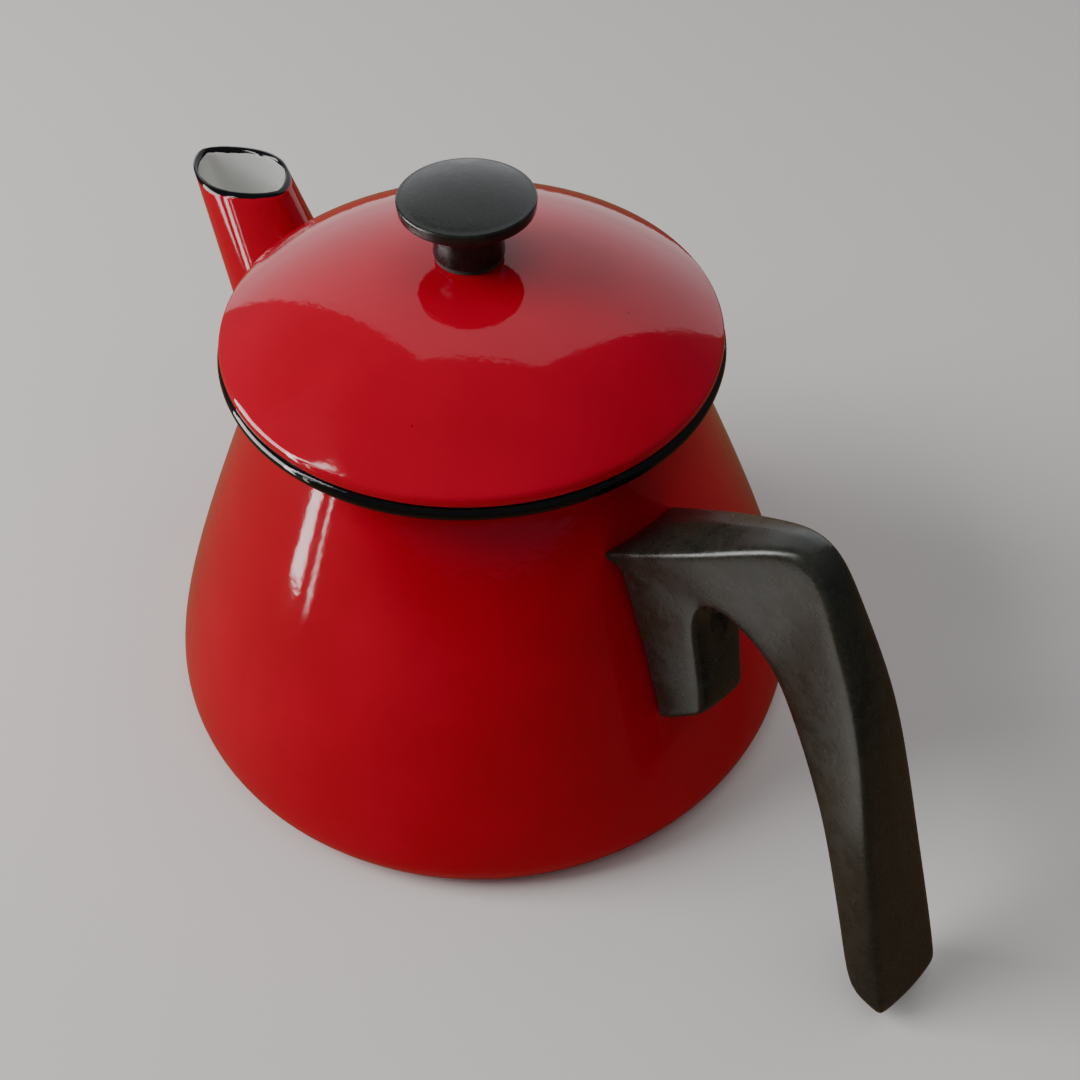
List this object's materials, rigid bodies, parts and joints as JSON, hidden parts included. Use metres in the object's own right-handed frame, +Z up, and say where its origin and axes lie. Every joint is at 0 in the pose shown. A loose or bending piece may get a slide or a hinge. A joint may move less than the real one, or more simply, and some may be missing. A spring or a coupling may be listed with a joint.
{
  "type": "stovetop kettle",
  "caption": "Squat enamelled stovetop kettle with a wide bell-shaped body, a straight tapered spout, a lift-off domed lid with a mushroom knob and a moulded arched side handle.",
  "frame": {"origin": "on the body's axis, at the base plane", "axes": "+Z up along the body's axis, +X towards the handle, -X towards the spout"},
  "size_m": [0.3071, 0.1972, 0.1687],
  "materials": {
    "red_enamel": "glossy vitreous enamel on sheet steel",
    "black_enamel": "glossy black enamel",
    "white_enamel": "glossy white enamel",
    "phenolic": "moulded phenolic, semi-gloss with fine wear",
    "plain_steel": "plain zinc-plated steel",
    "brass_insert": "plain turned brass",
    "fibre_washer": "dark vulcanised fibre"
  },
  "bodies": {
    "kettle": {"body_shell": "red_enamel", "base_pan": "red_enamel", "rim_hoop": "black_enamel", "spout_tube": "red_enamel", "handle": "phenolic", "handle_bracket": "plain_steel", "bracket_nut": "plain_steel", "handle_washer": "plain_steel", "handle_lock_washer": "plain_steel", "handle_screw": "plain_steel"},
    "lid": {"lid_shell": "red_enamel", "lid_collar": "white_enamel", "knob": "phenolic", "knob_insert": "brass_insert", "knob_seal": "fibre_washer", "knob_washer": "plain_steel", "knob_lock_washer": "plain_steel", "knob_screw": "plain_steel"}
  },
  "joints": [
    {"name": "lid_lift", "type": "slide", "parent": "kettle", "child": "lid", "axis": [0, 0, 1], "range_m": [0, 0.08]}
  ]
}
